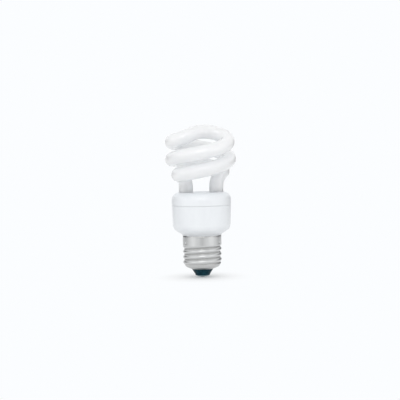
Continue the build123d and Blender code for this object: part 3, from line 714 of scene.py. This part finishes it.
class Bench:
    """Modelling by operators, as at a workbench: one piece at a time."""

    @staticmethod
    def turned(name: str, rings: Sequence[Ring], sides: int, ends: Ends) -> bpy.types.Object:
        """Turns a piece by extruding a circle through rings.

        Args:
            name: the piece's name.
            rings: radius and height of each ring in millimetres, from foot to end.
            sides: how many vertices a ring has.
            ends: how the first and the last ring are finished.

        Returns:
            The piece, at the origin, in object mode and with its faces outwards.
        """
        bpy.ops.object.select_all(action="DESELECT")
        radius, height = rings[0]
        bpy.ops.mesh.primitive_circle_add(vertices=sides, radius=radius * MM, fill_type="NOTHING")
        piece = bpy.context.active_object
        piece.name = piece.data.name = name
        bpy.ops.object.mode_set(mode="EDIT")
        bpy.ops.mesh.select_mode(type="VERT")
        bpy.ops.mesh.select_all(action="SELECT")
        bpy.ops.transform.translate(value=(0, 0, height * MM))
        path = [*rings, rings[0]] if ends is Ends.JOINED else rings
        for (old_radius, old_height), (radius, height) in zip(path, path[1:]):
            rise = (height - old_height) * MM
            bpy.ops.mesh.extrude_region_move(TRANSFORM_OT_translate={"value": (0, 0, rise)})
            share = radius / old_radius
            bpy.ops.transform.resize(value=(share, share, 1), center_override=(0, 0, height * MM))
        if ends is Ends.POLES:
            bpy.ops.mesh.merge(type="CENTER")
            Bench.pick(piece, lambda index: index < sides)
            bpy.ops.mesh.merge(type="CENTER")
        bpy.ops.mesh.select_all(action="SELECT")
        bpy.ops.mesh.remove_doubles(threshold=WELD * MM)
        bpy.ops.mesh.normals_make_consistent(inside=False)
        bpy.ops.object.mode_set(mode="OBJECT")
        return piece

    @staticmethod
    def pick(piece: bpy.types.Object, chosen: Callable[[int], bool]) -> None:
        """Selects a piece's vertices, and leaves it in edit mode.

        Args:
            piece: the piece, in edit mode.
            chosen: tells by a vertex's index whether it is selected.
        """
        bpy.ops.mesh.select_all(action="DESELECT")
        bpy.ops.object.mode_set(mode="OBJECT")
        for vertex in piece.data.vertices:
            vertex.select = chosen(vertex.index)
        bpy.ops.object.mode_set(mode="EDIT")

    @staticmethod
    def applied(piece: bpy.types.Object, kind: str, settings: Mapping[str, Any]) -> None:
        """Adds a modifier and applies it.

        Args:
            piece: the piece.
            kind: the modifier's type.
            settings: the modifier's properties.
        """
        modifier = piece.modifiers.new(kind.title(), kind)
        for name, value in settings.items():
            setattr(modifier, name, value)
        bpy.context.view_layer.objects.active = piece
        bpy.ops.object.modifier_apply(modifier=modifier.name)

    @staticmethod
    def pushed(
        piece: bpy.types.Object,
        weight: Callable[[Vector], float],
        depth: float,
        texture: Optional[bpy.types.Texture] = None,
    ) -> None:
        """Pushes a piece's surface along its normals, by weights read at its points.

        Args:
            piece: the piece.
            weight: gives 0 to 1 for a point in millimetres.
            depth: how far a weight of 1 moves a point outwards, in millimetres.
            texture: a pattern that lessens the push, from all of it at 1 to none at 0.
        """
        group = piece.vertex_groups.new(name="push")
        for vertex in piece.data.vertices:
            amount = weight(vertex.co / MM)
            if amount > 0:
                group.add([vertex.index], amount, "REPLACE")
        settings = {"mid_level": 0.0, "strength": depth * MM, "vertex_group": group.name, "texture": texture}
        Bench.applied(piece, "DISPLACE", settings)
        piece.vertex_groups.clear()

    @staticmethod
    def smoothed(piece: bpy.types.Object, degrees: float) -> None:
        """Shades a piece smooth.

        Args:
            piece: the piece.
            degrees: the angle past which an edge stays sharp.
        """
        bpy.ops.object.select_all(action="DESELECT")
        piece.select_set(True)
        bpy.context.view_layer.objects.active = piece
        bpy.ops.object.shade_smooth_by_angle(angle=math.radians(degrees))


def eased(value: float, low: float, high: float) -> float:
    """Gives 0 below low and 1 above high, with a smooth rise between them."""
    share = min(1.0, max(0.0, (value - low) / (high - low)))
    return share * share * (3 - 2 * share)


def steps(first: float, last: float, count: int) -> Iterator[float]:
    """Gives evenly spaced values from the first to the last, in a count of stretches."""
    for number in range(count + 1):
        yield first + (last - first) * number / count


def span(first: Ring, last: Ring, step: float) -> Iterator[Ring]:
    """Gives evenly spaced rings on the straight line from one ring to another.

    Args:
        first: the ring to start from, which isn't given.
        last: the last ring.
        step: about how far they are apart.

    Returns:
        The rings after the first.
    """
    count = max(1, round(math.dist(first, last) / step))
    for share in list(steps(0.0, 1.0, count))[1:]:
        yield first[0] + (last[0] - first[0]) * share, first[1] + (last[1] - first[1]) * share


def bowed(radius: float, reach: float, rise: float) -> float:
    """Gives how far an arc that starts level on the axis has risen.

    Args:
        radius: where it is read.
        reach: the radius at which it ends.
        rise: how far it has risen at its end.

    Returns:
        The rise at the radius.
    """
    curve = (reach * reach + rise * rise) / (2 * rise)
    return curve - math.sqrt(curve * curve - radius * radius)


@dataclass(frozen=True)
class CapSizes:
    """Sizes that the pieces of the cap share, as in the solids."""

    contact_radius: float = 4.9
    contact_foot: float = 0.4
    contact_rim: float = 1.8
    plate: float = 0.4
    play: float = 0.03
    wall: float = 0.45
    floor_radius: float = 7.2
    floor_height: float = foot_of("screw_shell")
    floor_angle: float = math.radians(22.0)
    corner: float = 2.5
    root: float = 12.1

    def seat(self, radius: float) -> float:
        """Gives the height of the contact plate's upper face, on which the glass sits, at a radius."""
        middle = self.contact_foot + self.plate
        return middle + (self.contact_rim - middle) * radius / self.contact_radius

    def setback(self, radius: float) -> float:
        """Gives how far a corner of a radius between the floor and the wall begins before their edge."""
        return radius * math.tan((math.pi / 2 - self.floor_angle) / 2)

    def floor(self, radius: float) -> float:
        """Gives the height of the shell's floor outside, at a radius."""
        return self.floor_height + (radius - self.floor_radius) * math.tan(self.floor_angle)


@dataclass
class CapPiece(ABC):
    """A piece of the cap, modelled in place of its solid."""

    finishes: Finishes
    cap: CapSizes

    @abstractmethod
    def build(self) -> None:
        """Models the piece and installs it."""

    def install(self, piece: bpy.types.Object, node: str, slot: Slot) -> None:
        """Dresses the piece, lets it ride on the lamp and stand for a solid.

        Args:
            piece: the finished piece.
            node: the solid that it stands for.
            slot: the record's slot that it takes its finish from.
        """
        self.finishes.put(piece, slot)
        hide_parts(node)
        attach(piece, BODY)
        LOG.info("%s: %d faces, stands for %s", piece.name, len(piece.data.polygons), node)


@dataclass
class ScrewShell(CapPiece):
    """The screw shell: a drawn cup with a rolled thread and a collar that is staked to the housing."""

    depth: float = 1.0
    pitch: float = 3.629
    root_round: float = 0.08
    thread_foot: float = 8.68
    fade_in: Range = (8.4, 10.0)
    collar: float = 13.15
    collar_foot: float = 22.6
    flare: float = 1.6
    edge: float = 0.13
    height: float = top_of("screw_shell")
    dimples: tuple[float, ...] = (92.0, 212.0, 332.0)
    dimple_height: float = 23.9
    dimple_reach: Range = (0.15, 0.95)
    dimple_depth: float = 0.5
    dimple_margin: float = 1.6
    fine_step: float = 0.15
    dimple_step: float = 0.2
    coarse_step: float = 0.8
    bend_steps: int = 10
    sides: int = 240
    crease: float = 50.0

    def build(self) -> None:
        """Turns the cup, rolls the thread and the collar into it, stakes it and gives it its wall."""
        piece = Bench.turned("rolled_screw_shell", self._rings(), self.sides, Ends.OPEN)
        Bench.pushed(piece, self._rolling, self.collar - self.cap.root)
        Bench.pushed(piece, self._staking, -self.dimple_depth)
        Bench.applied(piece, "SOLIDIFY", {"thickness": self.cap.wall * MM, "offset": -1.0})
        Bench.smoothed(piece, self.crease)
        self.install(piece, "screw_shell", Slot.NICKEL)

    def _rings(self) -> list[Ring]:
        """Gives the cup's outline before rolling.

        Returns:
            The rings of the sloping floor, the rounded corner and the plain wall.
        """
        cap = self.cap
        floor = (cap.floor_radius, cap.floor_height)
        centre = (cap.root - cap.corner, cap.floor(cap.root) + cap.setback(cap.corner))
        bend = [
            (centre[0] + cap.corner * math.cos(angle), centre[1] + cap.corner * math.sin(angle))
            for angle in steps(cap.floor_angle - math.pi / 2, 0.0, self.bend_steps)
        ]
        rings = [floor, *span(floor, bend[0], self.coarse_step), *bend[1:]]
        rings += span(rings[-1], (cap.root, self.collar_foot), self.fine_step)
        rings += span(rings[-1], (cap.root, self.dimple_height + self.dimple_margin), self.dimple_step)
        rings += span(rings[-1], (cap.root, self.height - self.edge), self.coarse_step)
        return [*rings, (cap.root, self.height)]

    def _rolling(self, point: Vector) -> float:
        """Gives how far a point of the wall is rolled out, as a share of the collar's step.

        Args:
            point: the point, in millimetres.

        Returns:
            The share of the thread's rounded crests, or of the collar that they run into.
        """
        step = self.collar - self.cap.root
        turn = math.atan2(point.y, point.x) / (2 * math.pi)
        phase = (point.z - self.thread_foot) / self.pitch - turn
        wave = 0.5 + 0.5 * math.cos(2 * math.pi * phase)
        low, high = math.sqrt(self.root_round), math.sqrt(1 + self.root_round)
        crest = (math.sqrt(wave + self.root_round) - low) / (high - low) * eased(point.z, *self.fade_in)
        flare = eased(point.z, self.collar_foot - self.flare, self.collar_foot)
        edge = eased(point.z, self.height - self.edge, self.height) * self.edge / step
        return 1 - (1 - crest * self.depth / step) * (1 - flare) - edge

    def _staking(self, point: Vector) -> float:
        """Gives how far a point of the collar is staked.

        Args:
            point: the point, in millimetres.

        Returns:
            The share of the dimples' depth.
        """
        deepest = 0.0
        for degrees in self.dimples:
            turn = Matrix.Rotation(math.radians(degrees), 3, "Z")
            middle = turn @ Vector((self.collar, 0, self.dimple_height))
            deepest = max(deepest, 1 - eased((point - middle).length, *self.dimple_reach))
        return deepest


@dataclass
class GlassInsulator(CapPiece):
    """The insulator: a cone of glass with fire-polished edges, the plug in the shell and the wire's bore."""

    wire_bore: float = 1.2
    seat_middle: float = 2.4
    seat_gap: float = 0.01
    lip: tuple[Ring, ...] = ((-0.1, -0.02), (0.12, 0.02), (0.13, 0.22), (0.27, 0.6))
    head_edge: Ring = (0.1, 0.35)
    plug_height: float = 2.5
    cone_step: float = 0.6
    sides: int = 160
    crease: float = 40.0

    def build(self) -> None:
        """Turns the glass from the bore's foot outwards, up the cone and back to the bore."""
        cap = self.cap
        lip = [(cap.contact_radius + out, cap.contact_rim + up) for out, up in self.lip]
        shoulder = (cap.floor_radius - self.head_edge[0], cap.floor_height - self.head_edge[1])
        rings = [
            *((radius, cap.seat(radius) + self.seat_gap) for radius in (self.wire_bore, self.seat_middle)),
            *lip,
            *span(lip[-1], shoulder, self.cone_step),
            (cap.floor_radius - cap.play, cap.floor_height),
            *self._plug(),
        ]
        piece = Bench.turned("glass_insulator", rings, self.sides, Ends.JOINED)
        Bench.smoothed(piece, self.crease)
        self.install(piece, "base_insulator", Slot.DARK_GLASS)

    def _plug(self) -> list[Ring]:
        """Gives the outline of the plug.

        Returns:
            The rings that follow the shell's floor, corner and wall inside, and end at the bore.
        """
        cap = self.cap
        radius = cap.root - cap.wall - cap.play
        lift = cap.wall / math.cos(cap.floor_angle) + cap.play
        foot = cap.floor(radius) + lift
        bevel = cap.setback(cap.corner - cap.wall)
        return [
            (cap.floor_radius - cap.play, cap.floor_height + lift),
            (radius - bevel * math.cos(cap.floor_angle), foot - bevel * math.sin(cap.floor_angle)),
            (radius, foot + bevel),
            (radius, foot + self.plug_height),
            (self.wire_bore, foot + self.plug_height),
        ]


@dataclass
class SolderedContact(CapPiece):
    """The contact: a domed plate whose hole is closed by an uneven bead of solder."""

    dome: float = 1.0
    hole: float = 0.8
    edge: float = 0.12
    bead: Ring = (1.8, 0.52)
    bead_foot: float = 0.15
    bead_steps: int = 6
    plate_steps: int = 4
    seat_middle: float = 2.4
    tip: float = 0.05
    lump_size: float = 0.9
    lump_depth: float = 0.16
    lump_margin: float = 0.01
    lump_start: float = 0.2
    sides: int = 96
    crease: float = 45.0

    def build(self) -> None:
        """Turns the plate and its bead, and makes the bead uneven."""
        piece = Bench.turned("soldered_contact", self._rings(), self.sides, Ends.POLES)
        lumps = bpy.data.textures.new("solder_lumps", "CLOUDS")
        lumps.noise_scale = self.lump_size * MM
        Bench.pushed(piece, self._lumpy, -self.lump_depth, lumps)
        Bench.smoothed(piece, self.crease)
        self.install(piece, "centre_contact", Slot.TIN)

    def _rings(self) -> list[Ring]:
        """Gives the contact's outline.

        Returns:
            The rings from the bead's tip out to the rim, and back to the hole that the bead fills.
        """
        cap = self.cap
        rim = cap.contact_radius
        dome_top = cap.contact_foot + self.dome
        spread = self.bead[0]
        bead = [(radius, bowed(radius, *self.bead)) for radius in steps(self.tip, spread, self.bead_steps)]
        plate = steps(spread + self.bead_foot, rim - self.edge, self.plate_steps)
        back = (rim - self.edge, self.seat_middle, self.hole)
        return [
            (self.tip, 0.0),
            *bead[1:],
            *((radius, cap.contact_foot + bowed(radius, rim, self.dome)) for radius in plate),
            (rim, dome_top + self.edge),
            (rim, cap.contact_rim - self.edge),
            *((radius, cap.seat(radius)) for radius in back),
            (self.hole, cap.contact_foot),
            (self.tip, cap.contact_foot),
        ]

    def _lumpy(self, point: Vector) -> float:
        """Gives 1 on the bead, apart from its tip, and 0 on the plate."""
        below = point.z < self.cap.contact_foot - self.lump_margin
        return float(below and point.xy.length > self.lump_start)


@dataclass
class SolidDress:
    """The solids that keep their own mesh: glass tube, housing and the ballast inside it."""

    finishes: Finishes
    nodes: Mapping[str, bpy.types.Object]
    record: Mapping[str, Any]

    def dress(self) -> None:
        """Gives each shown solid the finish of its slot in the record."""
        slots = {row["node"]: Slot(row["material_slot"]) for row in self.record["subparts"]}
        for name, node in self.nodes.items():
            if not node.hide_render:
                self.finishes.put(node, slots[name])
                LOG.info("%s: solid, %s", name, slots[name].value)


@dataclass(frozen=True)
class Softbox:
    """A square area light that points at the lamp's middle, in millimetres and watts."""

    name: str
    place: Place
    power: float
    side: float = 420.0
    aim: Place = (0.0, 0.0, 50.0)

    def hang(self) -> None:
        """Adds the light to the scene."""
        data = bpy.data.lights.new(self.name, "AREA")
        data.size = self.side * MM
        data.energy = self.power
        light = bpy.data.objects.new(self.name, data)
        light.location = Vector(self.place) * MM
        ahead = Vector(self.aim) - Vector(self.place)
        light.rotation_euler = ahead.to_track_quat("-Z", "Y").to_euler()
        bpy.context.scene.collection.objects.link(light)


@dataclass(frozen=True)
class DarkCard:
    """A dark card on the table, unseen by the camera, for the glass and metal to mirror.

    Its place round the lamp is in degrees from the camera's side to the left.
    """

    name: str
    degrees: float
    away: float
    width: float
    height: float
    grey: Colour = (0.08, 0.08, 0.085)

    def stand(self) -> None:
        """Adds the card to the stage."""
        bpy.ops.object.select_all(action="DESELECT")
        bpy.ops.mesh.primitive_plane_add(size=1.0)
        card = bpy.context.active_object
        card.name = self.name
        turn = Matrix.Rotation(-math.radians(self.degrees), 4, "Z")
        place = Matrix.Translation(Vector((0, -self.away, self.height / 2)) * MM)
        upright = Matrix.Rotation(math.pi / 2, 4, "X")
        shape = Matrix.Diagonal((self.width * MM, self.height * MM, 1, 1))
        card.data.transform(turn @ place @ upright @ shape)
        material = bpy.data.materials.new(self.name)
        tree = ShaderTree(material)
        matt = tree.node("ShaderNodeBsdfDiffuse", inputs={"Color": (*self.grey, 1.0)})
        tree.node("ShaderNodeOutputMaterial", inputs={"Surface": matt})
        card.data.materials.append(material)
        card.visible_camera = False


@dataclass
class Studio:
    """A white table under soft light, and the camera at the photograph's angle."""

    softboxes: tuple[Softbox, ...] = (
        Softbox("key", place=(-40.0, -760.0, 520.0), power=1.3),
        Softbox("left", place=(-700.0, -480.0, 200.0), power=0.45),
        Softbox("right", place=(700.0, -480.0, 200.0), power=0.45),
    )
    cards: tuple[DarkCard, ...] = (
        DarkCard("left_flag", degrees=120.0, away=500.0, width=460.0, height=220.0),
        DarkCard("right_flag", degrees=-126.0, away=500.0, width=560.0, height=220.0),
        DarkCard("camera_side", degrees=0.0, away=520.0, width=190.0, height=150.0),
    )
    paper: Colour = (0.966, 0.983, 1.0)
    table: Colour = (0.94, 0.945, 0.95)
    table_side: float = 6000.0
    shade_reach: Range = (3.0, 36.0)
    shadow_glow_share: float = 0.3
    ambient: float = 0.88
    distance: float = 700.0
    elevation: float = 3.0
    roll: float = 1.1
    target: Place = (-0.9, 0.0, 52.6)
    frame_width: float = 272.0
    sensor: float = 36.0

    def build(self) -> None:
        """Makes the table, the light, the world and the camera."""
        self._table()
        self._world()
        for softbox in self.softboxes:
            softbox.hang()
        for card in self.cards:
            card.stand()
        self._camera()
        bpy.context.scene.view_settings.view_transform = "Standard"

    def _table(self) -> None:
        """Lays the table: diffuse near the lamp, where a share of glowing white lightens the lamp's shadow
        as painted light, and paper white further out.
        """
        bpy.ops.object.select_all(action="DESELECT")
        bpy.ops.mesh.primitive_plane_add(size=self.table_side * MM)
        table = bpy.context.active_object
        table.name = "table"
        material = bpy.data.materials.new("table_paper")
        tree = ShaderTree(material)
        far = tree.reach(tree.radius(tree.point()), *self.shade_reach)
        matt = tree.node("ShaderNodeBsdfDiffuse", inputs={"Color": (*self.table, 1.0)})
        white = tree.node("ShaderNodeEmission", inputs={"Color": (*self.paper, 1.0), "Strength": 1.0})
        # Painted light: near the lamp a share of glowing white is mixed in, which lightens the lamp's
        # shadow.
        factor = tree.between(far, self.shadow_glow_share, 1.0) * self._seen(tree)
        mixed = tree.node("ShaderNodeMixShader", inputs={0: factor, 1: matt, 2: white})
        tree.node("ShaderNodeOutputMaterial", inputs={"Surface": mixed})
        table.data.materials.append(material)

    @staticmethod
    def _seen(tree: ShaderTree) -> Signal:
        """Tells what is looked at from what only lights the lamp.

        Args:
            tree: the tree that asks.

        Returns:
            1 for rays from the camera, and for those seen in gloss or through glass.
        """
        path = tree.node("ShaderNodeLightPath").socket.node.outputs
        camera = Signal(tree, path["Is Camera Ray"])
        gloss = Signal(tree, path["Is Glossy Ray"])
        return camera.larger(gloss).larger(Signal(tree, path["Is Transmission Ray"]))

    def _world(self) -> None:
        """Surrounds the table with white, and lights it evenly at a lower level."""
        world = bpy.data.worlds.new("studio")
        bpy.context.scene.world = world
        tree = ShaderTree(world)
        light = tree.node("ShaderNodeBackground", inputs={"Color": (1, 1, 1, 1), "Strength": self.ambient})
        white = tree.node("ShaderNodeBackground", inputs={"Color": (*self.paper, 1.0), "Strength": 1.0})
        mixed = tree.node("ShaderNodeMixShader", inputs={0: self._seen(tree), 1: light, 2: white})
        tree.node("ShaderNodeOutputWorld", inputs={"Surface": mixed})

    def _camera(self) -> None:
        """Sets the camera in front of the lamp, a little above it."""
        data = bpy.data.cameras.new("camera")
        data.sensor_width = self.sensor
        data.lens = self.sensor * self.distance / self.frame_width
        camera = bpy.data.objects.new("camera", data)
        tilt = math.radians(self.elevation)
        back = Vector((0, -math.cos(tilt), math.sin(tilt)))
        camera.location = (Vector(self.target) + back * self.distance) * MM
        lean = Quaternion((0, 0, 1), -math.radians(self.roll))
        camera.rotation_euler = ((-back).to_track_quat("-Z", "Y") @ lean).to_euler()
        bpy.context.scene.collection.objects.link(camera)
        bpy.context.scene.camera = camera


def main() -> None:
    """Builds the cap's pieces, dresses the solids and sets the studio."""
    logging.basicConfig(level=logging.INFO, format="%(name)s: %(message)s")
    finishes = Finishes()
    cap = CapSizes()
    for piece in (ScrewShell(finishes, cap), GlassInsulator(finishes, cap), SolderedContact(finishes, cap)):
        piece.build()
    SolidDress(finishes, frame["nodes"], frame["record"]).dress()
    Studio().build()


if __name__ == "__main__":
    main()
